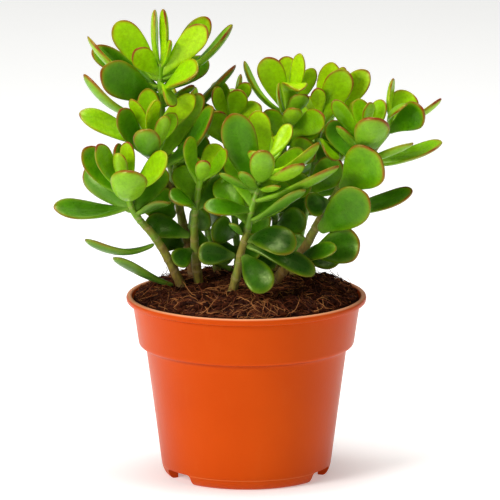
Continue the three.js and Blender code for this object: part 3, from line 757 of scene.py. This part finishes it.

# %% [markdown]
# ### Their finish
#
# A jade leaf is waxy: its gloss is soft and its colour deep. Light gets a little way into the
# flesh, so thin parts glow yellow. The pattern follows the leaf, so it reads the attributes that
# the blank carries: the middle is greener, the edge yellower (partly a paler margin and partly a
# painted glow of light shining through the thin edge), the margin of the outer half is brown-red,
# the stalk is pale, and the lower face is duller than the upper one. A pattern in space alone could
# not find a margin. Clouds and a fine mottle vary the green, and fine dots and a faint waviness in
# the relief break the gloss.

# %% Waxy leaf
material, tree, shader = new_material("waxy_leaf")
age = read_attribute(tree, "age")
tint = read_attribute(tree, "tint")
cloud = own_noise(tree, 160.0, 3.0)
wander = add_node(tree, "ShaderNodeMath", {0: cloud, 1: tint}, operation="ADD").outputs[0]
wander_by = {0: wander, 1: 0.3, 2: -0.3}
shift = add_node(tree, "ShaderNodeMath", wander_by, operation="MULTIPLY_ADD").outputs[0]
ripeness = add_node(tree, "ShaderNodeMath", {0: age, 1: shift}, operation="ADD").outputs[0]
colour = ramp(
    tree,
    ripeness,
    [
        (0.0, (0.40, 0.66, 0.002)),
        (0.3, (0.23, 0.49, 0.001)),
        (0.6, (0.065, 0.23, 0.001)),
        (1.0, (0.008, 0.048, 0.001)),
    ],
)
mottle = ramp(tree, own_noise(tree, 520.0, 5.0, rough=0.7), [(0.36, 0.72), (0.64, 1.22)])
colour = blend_colours(tree, 0.6, colour, mottle, "MULTIPLY")
margin = read_attribute(tree, "margin")
along = read_attribute(tree, "along")
sun = read_attribute(tree, "sun")
# Painted glow: the margin is mixed towards yellow-green, partly a paler margin and partly light
# shining through the thin edge.
glow = multiply(tree, ramp(tree, margin, [(0.6, 0.0), (0.95, 1.0)]), 0.14)
colour = blend_colours(tree, glow, colour, (0.48, 0.70, 0.01))
under = multiply(tree, read_attribute(tree, "under"), 0.22)
colour = blend_colours(tree, under, colour, (0.15, 0.28, 0.05))
stalk = multiply(tree, ramp(tree, along, [(0.06, 1.0), (0.3, 0.0)]), 0.35)
colour = blend_colours(tree, stalk, colour, (0.28, 0.46, 0.06))
rib = multiply(tree, ramp(tree, read_attribute(tree, "middle"), [(0.0, 1.0), (0.14, 0.0)]), 0.02)
colour = blend_colours(tree, rib, colour, (0.45, 0.62, 0.12))
outer_half = ramp(tree, along, [(0.45, 0.0), (0.85, 1.0)])
patchy = ramp(tree, own_noise(tree, 130.0, 2.0), [(0.35, 0.25), (0.6, 1.0)])
line = multiply(tree, ramp(tree, margin, [(0.86, 0.0), (0.96, 1.0)]), patchy)
blush_edge = ramp(tree, margin, [(0.76, 0.0), (1.0, 0.42)])
blush = multiply(tree, multiply(tree, blush_edge, outer_half), sun)
colour = blend_colours(tree, blush, colour, (0.40, 0.13, 0.006))
reddened = ramp(tree, sun, [(0.0, 0.35), (0.45, 1.0)])
red = multiply(tree, multiply(tree, line, outer_half), reddened)
colour = blend_colours(tree, red, colour, (0.24, 0.030, 0.004))
tree.links.new(colour, shader.inputs["Base Color"])
fine = own_noise(tree, 1300.0, 2.0)
roughness = ramp(tree, fine, [(0.3, 0.26), (0.7, 0.38)])
tree.links.new(roughness, shader.inputs["Roughness"])
shader.inputs["Specular IOR Level"].default_value = 0.45
shader.inputs["Specular Tint"].default_value = (0.8, 1.0, 0.35, 1)
shader.inputs["Subsurface Weight"].default_value = 0.12
shader.inputs["Subsurface Radius"].default_value = (0.5, 1.0, 0.12)
shader.inputs["Subsurface Scale"].default_value = 1.6 * MM
swell = own_noise(tree, 260.0, 2.0)
waviness = {0: swell, 1: 6.0, 2: fine}
relief = add_node(tree, "ShaderNodeMath", waviness, operation="MULTIPLY_ADD").outputs[0]
bump(tree, shader, relief, 0.035)
for node, piece in pieces.items():
    piece.data.materials.append(material)
    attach(piece, "root")
    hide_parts(node)

# %% [markdown]
# ## The stems
#
# The stems are woody at the foot and green at the top. Each is grown from a ball whose poles are
# pulled apart along the stem's middle line, just as the leaves were. A curve with a round bevel
# would be quicker, but its surface can't be shaped ring by ring, and a jade stem needs that: where
# a pair of old leaves fell off, it keeps a raised ring with a dark line.
#
# The middle lines come from the solids. A stem's mesh is a row of eight-sided rings, read from the
# foot upwards and from each tip downwards. Where two lines meet is a fork.

# %% Read the middle lines of the stems
STEM_SIDES = 8
ROUNDNESS = 1.06  # a ring's longest spoke over its shortest
DOME_RISE = 0.6  # how far a tip stands above its first ring, as a share of the ring's radius
DOME_RADIUS = 0.8
SHORTEST_STEM = 20 * MM


def even_rings(rows, places):
    """The middle and the radius of each row of corners, up to the first row that isn't round."""
    rings = []
    for row in rows:
        middle = sum((places[v] for v in row), Vector()) / len(row)
        spread = [(places[v] - middle).length for v in row]
        if max(spread) > ROUNDNESS * min(spread):
            break
        rings.append((middle, sum(spread) / len(spread)))
    return rings


def stem_lines(node):
    """Each line of a stem as a list of (place, radius), from its foot or its fork to its tip."""
    places, near = read_solid(node)
    foot = set(sorted(range(len(places)), key=lambda v: places[v].z)[:STEM_SIDES])
    trunk = even_rings(rows_from(foot, set(), near, STEM_SIDES), places)
    tops = []
    for tip, close in enumerate(near):
        rings = even_rings(rows_from(close, {tip}, near, STEM_SIDES), places)
        flat = rings and (places[tip] - rings[0][0]).length < DOME_RISE * rings[0][1]
        if flat and places[tip].z > trunk[0][0].z + SHORTEST_STEM:
            tops.append([*reversed(rings), (places[tip], rings[0][1] * DOME_RADIUS)])
    heading = trunk[-1][0] - trunk[-2][0]
    tops.sort(key=lambda top: (top[0][0] - trunk[-1][0]).angle(heading, 0))
    unforked = (tops[0][0][0] - trunk[0][0]).length < MM
    main = tops[0] if unforked else trunk + tops[0]
    lines = [main]
    for top in tops[1:]:
        back = (top[0][0] - top[-1][0]).normalized()
        steps = [top[0][0] + back * (k * MM) for k in range(4, 14)]
        marks = [a[0].lerp(b[0], k / 6) for a, b in zip(main, main[1:]) for k in range(6)]
        fork = min(marks, key=lambda mark: min((mark - step).length for step in steps))
        lines.append([(fork, top[0][1]), *top])
    return lines


stem_nodes = sorted(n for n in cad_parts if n.startswith("stem_"))
lines = {node: stem_lines(node) for node in stem_nodes}
for node, found in lines.items():
    print(node, [len(line) for line in found])


# %% Draw a ball out along a line
def smooth_line(points, step):
    """A smooth line through points, as one row of numbers for each step along it."""
    points = np.array(points)
    padded = np.vstack([2 * points[0] - points[1], points, 2 * points[-1] - points[-2]])
    rows = []
    for a, b, c, d in zip(padded, padded[1:], padded[2:], padded[3:]):
        count = max(1, round(np.linalg.norm(c[:3] - b[:3]) / step))
        t = (np.arange(count) / count)[:, None]
        first = (c - a) * t / 2
        second = (2 * a - 5 * b + 4 * c - d) * t**2 / 2
        third = (3 * b - a - 3 * c + d) * t**3 / 2
        rows.append(b + first + second + third)
    return np.vstack([*rows, points[-1]])


ball_blanks = {}  # by segments and rows, because the fibres all use the same one


def drawn_out(line, segments, reference):
    """A ball drawn out along a line, with one ring for each row: places, radii, outward
    directions, turns, shares of the way and faces."""
    key = (segments, len(line))
    if key not in ball_blanks:
        ball_blanks[key] = ball_blank(segments, len(line) - 1)
    height, turn, faces = ball_blanks[key]
    share = 1 - np.arccos(np.clip(2 * height - 1, -1, 1)) / math.pi
    at = share * (len(line) - 1)
    ahead = np.gradient(line[:, :3], axis=0)
    columns = [np.interp(at, np.arange(len(line)), line[:, k]) for k in range(line.shape[1])]
    ahead = np.stack([np.interp(at, np.arange(len(line)), ahead[:, k]) for k in range(3)], 1)
    side = np.cross(reference, ahead)
    side /= np.linalg.norm(side, axis=1)[:, None]
    over = np.cross(ahead, side)
    over /= np.linalg.norm(over, axis=1)[:, None]
    out = side * np.cos(turn)[:, None] + over * np.sin(turn)[:, None]
    ends = np.minimum(at, len(line) - 1 - at)
    closing = np.interp(ends, (0, 1, 2, 3), (0.0, 0.72, 0.93, 1.0))
    return np.stack(columns[:3], 1), columns[3] * closing, out, turn, share, faces


# %% [markdown]
# ### Bark relief
#
# The rings sit 4 to 9 mm apart, lean a little, and stand out by a twelfth of the stem's radius.
# Around them the stem swells slightly, and slow noise keeps it from looking turned on a lathe.
# Shading alone could draw the rings, but they would vanish along the stem's outline.

# %% Grow the stems
STEM_STEP = 0.8
STEM_SEGMENTS = 20
RING_SPACING = (4, 9)
RING_HALF_WIDTH, SWELL_HALF_WIDTH = 0.55, 1.9
RING_RISE, SWELL_RISE, LUMP_RISE, FURROW_RISE = 0.08, 0.035, 0.11, 0.018


def grow_stem(name, line, greenness):
    """A stem piece along a line of (place, radius); greenness is given for its foot and its tip."""
    path = smooth_line([(*place, radius) for place, radius in line], STEM_STEP * MM)
    centre, radius, out, turn, share, faces = drawn_out(path, STEM_SEGMENTS, (0.0, 1.0, 0.0))
    length = len(path) * STEM_STEP
    walked = share * length
    ridge = np.zeros(len(turn))
    swell = np.zeros(len(turn))
    mark = random.uniform(2, 5)
    while mark < length:
        lean, facing = random.uniform(0.2, 0.9), random.uniform(0, 6.3)
        off = walked - mark - lean * np.cos(turn - facing)
        ridge = np.maximum(ridge, np.exp(-((off / RING_HALF_WIDTH) ** 2)))
        swell = np.maximum(swell, np.exp(-((off / SWELL_HALF_WIDTH) ** 2)))
        mark += random.uniform(*RING_SPACING)
    lumps = np.array([noise.noise(Vector(c + o * 0.002) * 260) for c, o in zip(centre, out)])
    furrows = np.sin(turn * 6 + walked * 0.25) * FURROW_RISE
    relief = 1 + RING_RISE * ridge + SWELL_RISE * swell + LUMP_RISE * lumps + furrows
    piece = new_piece(name, centre + out * (radius * relief)[:, None], faces)
    keep_attribute(piece, "scar", ridge)
    keep_attribute(piece, "green", np.interp(share, (0, 1), greenness))
    face_outwards(piece)
    return piece


WOOD_GREENNESS = (0.05, 0.72)
wood_ends = []
woods = {}
for node, found in lines.items():
    for i, line in enumerate(found):
        wood_ends.append(line[-2:])
        grown = grow_stem(f"wood_{node}_{i + 1}", line, WOOD_GREENNESS)
        woods.setdefault(node, []).append(grown)
print("woody stems:", sum(len(found) for found in woods.values()))

# %% [markdown]
# ### Green tips
#
# Above the wood the stem is soft and green. Its line runs from the end of the wood through the feet
# of the leaves that it carries, which the leaf measurements already hold. It starts a little way
# inside the wood: a tip that starts at the wood's end closes to a point there and leaves a waist.

# %% Grow the green tips
TIP_RADIUS = 1.8
BUD_RADIUS = 1.25
TIP_GREENNESS = (0.72, 1.0)
SUNK_IN_WOOD = 3 * MM
LEAST_STRETCH = 3.5 * MM  # between two leaf feet that both bend the line
BUD_LENGTH = 2.5 * MM
tips = {}
for node in rosette_nodes:
    feet = sorted((leaf["base"] for leaf in leaves[node]), key=lambda place: place.z)
    (below, _), (start, _) = min(wood_ends, key=lambda ends: (ends[1][0] - feet[0]).length)
    stops = [start + (below - start).normalized() * SUNK_IN_WOOD]
    for foot in feet:
        if (foot - stops[-1]).length > LEAST_STRETCH:
            stops.append(foot)
    stops.append(stops[-1] + (stops[-1] - stops[-2]).normalized() * BUD_LENGTH)
    count = len(stops) - 1
    line = [
        (stop, (TIP_RADIUS + (BUD_RADIUS - TIP_RADIUS) * i / count) * MM)
        for i, stop in enumerate(stops)
    ]
    tips[node] = grow_stem("green_tip_" + node.removeprefix("rosette_"), line, TIP_GREENNESS)
print("green tips:", len(tips))

# %% [markdown]
# ### Bark and green skin
#
# One material serves the whole stem, and its greenness is an attribute: tan and brown corky bark at
# the foot, olive in the middle and fresh green at the tip. The leaf scars are dark lines on pale
# ridges. Bark is dull, and the green skin has a soft gloss.

# %% Stem skin
material, tree, shader = new_material("stem_skin")
green = read_attribute(tree, "green")
flakes = own_noise(tree, 420.0, 5.0, (1, 1, 0.3), 0.62)
patches = own_noise(tree, 110.0, 3.0)
drift_by = {0: patches, 1: 0.7, 2: -0.35}
drift = add_node(tree, "ShaderNodeMath", drift_by, operation="MULTIPLY_ADD").outputs[0]
freshness = add_node(tree, "ShaderNodeMath", {0: green, 1: drift}, operation="ADD").outputs[0]
skin = ramp(
    tree,
    freshness,
    [
        (0.0, (0.16, 0.060, 0.016)),
        (0.25, (0.30, 0.150, 0.030)),
        (0.5, (0.22, 0.22, 0.016)),
        (0.72, (0.13, 0.27, 0.008)),
        (1.0, (0.22, 0.47, 0.004)),
    ],
)
corky = ramp(tree, green, [(0.3, 0.6), (0.8, 0.1)])
dark_flakes = multiply(tree, ramp(tree, flakes, [(0.42, 1.0), (0.58, 0.0)]), corky)
skin = blend_colours(tree, dark_flakes, skin, (0.07, 0.035, 0.014))
scar = read_attribute(tree, "scar")
pale_ridge = multiply(tree, ramp(tree, scar, [(0.25, 0.0), (0.6, 1.0), (0.85, 0.2)]), 0.4)
skin = blend_colours(tree, pale_ridge, skin, (0.38, 0.26, 0.12))
dark_line = multiply(tree, ramp(tree, scar, [(0.86, 0.0), (0.97, 1.0)]), 0.7)
skin = blend_colours(tree, dark_line, skin, (0.05, 0.022, 0.010))
tree.links.new(skin, shader.inputs["Base Color"])
tree.links.new(ramp(tree, freshness, [(0.3, 0.82), (0.8, 0.42)]), shader.inputs["Roughness"])
shader.inputs["Specular IOR Level"].default_value = 0.35
bump(tree, shader, flakes, 0.35, 0.8)
for node, piece in [(n, p) for n, found in woods.items() for p in found] + list(tips.items()):
    piece.data.materials.append(material)
    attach(piece, "root")
    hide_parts(node)

# %% [markdown]
# ## The soil
#
# Potting soil for such a plant is dark peat with coconut fibre. It takes three layers to look
# right: a heaped body with a lumpy top, loose crumbs on it, and a tangle of thin brown fibres.
# Noise on a smooth surface alone would look like felt.

# %% The soil's body
SOIL_RIM = 56.2
SOIL_EDGE = 90.0
MOUND_RADII = (0.0, 24.0, 46.0, SOIL_RIM)
MOUND_HEIGHTS = (97.0, 96.6, 94.9, SOIL_EDGE)
MOUND_RINGS = 58
SOIL_SIDES = 132


def mound(radius):
    """The heap's height at a distance from the axis, both in millimetres."""
    return float(np.interp(radius, MOUND_RADII, MOUND_HEIGHTS))


def ground(x, y):
    """The height of the finished ground, with its lumps, in millimetres."""
    radius = math.hypot(x, y)
    broad = noise.noise(Vector((x, y, 0)) * 0.11) * 1.5
    small = noise.noise(Vector((x, y, 9)) * 0.38) * 0.9
    fade = min(1, max(0.15, (SOIL_RIM - radius) / 6))
    return mound(radius) + (broad + small) * fade


soil_profile = [(0.01, 8.4), (20.0, 8.4), (40.6, 8.4), (48.8, 64.6), (52.1, 69.2)]
soil_profile += [(54.5, 84.6), (SOIL_RIM, 88.9), (SOIL_RIM, SOIL_EDGE)]
for k in range(1, MOUND_RINGS):
    r = SOIL_RIM * (1 - k / MOUND_RINGS)
    soil_profile.append((r, mound(r)))
soil_profile.append((0.01, mound(0)))
soil = turned("soil_body", soil_profile, SOIL_SIDES)
for vertex in soil.data.vertices:
    x, y, z = vertex.co / MM
    if z > SOIL_EDGE - 0.1 and math.hypot(x, y) < SOIL_RIM - 0.2:
        vertex.co.z = ground(x, y) * MM
        vertex.co.z += noise.noise(Vector((x, y, 3)) * 0.9) * 0.35 * MM
only(soil)
bpy.ops.object.shade_smooth()
report(soil)

# %% [markdown]
# ### Crumbs
#
# The crumbs are small balls pushed out of shape by noise. Many are tiny and a few are as large as a
# lentil, which is how crumbled soil falls.

# %% Scatter the crumbs
CRUMBS = 1100
CRUMB_LIMIT = 54.0
bpy.ops.object.select_all(action="DESELECT")
bpy.ops.mesh.primitive_ico_sphere_add(subdivisions=2, radius=0.5)
crumb = name_active("crumb_blank")
crumb_corners = np.array([v.co for v in crumb.data.vertices])
crumb_faces = [tuple(p.vertices) for p in crumb.data.polygons]
bpy.data.objects.remove(crumb)


def somewhere(limit):
    """A place on the heap, as likely in one spot as in another."""
    radius, turn = limit * math.sqrt(random.random()), random.uniform(0, 2 * math.pi)
    return radius * math.cos(turn), radius * math.sin(turn)


points, faces, tints = [], [], []
for i in range(CRUMBS):
    x, y = somewhere(CRUMB_LIMIT)
    size = 0.9 + 3.6 * random.random() ** 3
    offset = Vector((random.uniform(0, 90), 0, 0))
    swell = [1 + 0.55 * noise.noise(Vector(c) * 2.6 + offset) for c in crumb_corners]
    stretch = np.array([random.uniform(0.75, 1.25), random.uniform(0.75, 1.25), 0.75])
    shaped = crumb_corners * np.array(swell)[:, None] * stretch * size
    faces += [tuple(v + i * len(crumb_corners) for v in face) for face in crumb_faces]
    points.append((shaped + np.array([x, y, ground(x, y) + 0.18 * size])) * MM)
    tints.append(np.full(len(crumb_corners), random.random()))
crumbs = new_piece("soil_crumbs", np.concatenate(points), faces)
keep_attribute(crumbs, "tint", np.concatenate(tints))
only(crumbs)
bpy.ops.object.shade_smooth()
report(crumbs)

# %% [markdown]
# ### Fibres
#
# Each fibre wanders over the ground as a chain of short steps that turn a little each time. Most
# lie flat. Some bow up and come down again, and a few stand free with one loose end.

# %% Lay the fibres
FIBRES = 2200
FIBRE_STEPS = 9
FIBRE_LIMIT = 54.8
POT_INSIDE = 55.4
STANDING_SHARE = 0.10
START_SHIFT = 1e-6  # a thousandth of a millimetre, so that no fibre starts exactly upright


def fibre_line(x, y, length, rise, loose, thick):
    """The rows of one fibre: place and radius, in metres."""
    heading = random.uniform(0, 2 * math.pi)
    bend = random.uniform(-0.3, 0.3)
    rows = []
    for k in range(FIBRE_STEPS):
        share = k / (FIBRE_STEPS - 1)
        lift = rise * (share**1.5 if loose else math.sin(math.pi * share))
        rows.append((x, y, ground(x, y) + thick + lift, thick))
        heading += bend + random.uniform(-0.4, 0.4)
        x += math.cos(heading) * length / FIBRE_STEPS
        y += math.sin(heading) * length / FIBRE_STEPS
        over = math.hypot(x, y) / POT_INSIDE
        if over > 1:
            x, y = x / over, y / over
            heading += 1.6
    return np.array(rows) * MM


points, faces, tints, count = [], [], [], 0
for i in range(FIBRES):
    x, y = somewhere(FIBRE_LIMIT)
    loose = random.random() < STANDING_SHARE
    rise = random.uniform(1.5, 7.0) if loose else abs(random.gauss(0, 1.0)) + 0.2
    thick = random.uniform(0.07, 0.2)
    line = fibre_line(x, y, random.uniform(5, 26), rise, loose, thick)
    line[1:, :2] += START_SHIFT
    centre, radius, out, _, _, ball_faces = drawn_out(line, 4, (0.02, 0.01, 1.0))
    points.append(centre + out * radius[:, None])
    faces += [tuple(v + count for v in face) for face in ball_faces]
    count += len(centre)
    tints.append(np.full(len(centre), random.random()))
fibres = new_piece("soil_fibres", np.concatenate(points), faces)
keep_attribute(fibres, "tint", np.concatenate(tints))
face_outwards(fibres)
report(fibres)

# %% [markdown]
# ### Earth and fibre finishes
#
# Moist peat is a dark red-brown with hardly any gloss. The fibres run from nearly black through
# rust to straw, one shade each, so that single fibres can be told apart in the tangle.

# %% Moist peat
material, tree, shader = new_material("moist_peat")
coarse = own_noise(tree, 240.0, 6.0, rough=0.65)
colour = ramp(
    tree,
    coarse,
    [(0.32, (0.006, 0.001, 0.001)), (0.5, (0.028, 0.006, 0.002)), (0.68, (0.085, 0.020, 0.006))],
)
tree.links.new(colour, shader.inputs["Base Color"])
tree.links.new(ramp(tree, coarse, [(0.3, 0.8), (0.7, 1.0)]), shader.inputs["Roughness"])
shader.inputs["Specular IOR Level"].default_value = 0.06
bump(tree, shader, own_noise(tree, 1100.0, 5.0, rough=0.7), 0.6)
for piece in (soil, crumbs):
    piece.data.materials.append(material)
    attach(piece, "root")
    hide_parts("soil")

# %% Coconut fibre
material, tree, shader = new_material("coconut_fibre")
shade = read_attribute(tree, "tint")
streak = own_noise(tree, 700.0, 2.0)
shade = add_node(tree, "ShaderNodeMath", {0: streak, 1: 0.3, 2: shade}, operation="MULTIPLY_ADD")
colour = ramp(
    tree,
    shade.outputs[0],
    [
        (0.2, (0.025, 0.004, 0.001)),
        (0.6, (0.09, 0.018, 0.004)),
        (0.9, (0.22, 0.052, 0.011)),
        (1.0, (0.42, 0.16, 0.045)),
    ],
)
tree.links.new(colour, shader.inputs["Base Color"])
tree.links.new(ramp(tree, streak, [(0.3, 0.6), (0.7, 0.8)]), shader.inputs["Roughness"])
shader.inputs["Specular IOR Level"].default_value = 0.2
bump(tree, shader, streak, 0.05)
fibres.data.materials.append(material)
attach(fibres, "root")
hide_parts("soil")
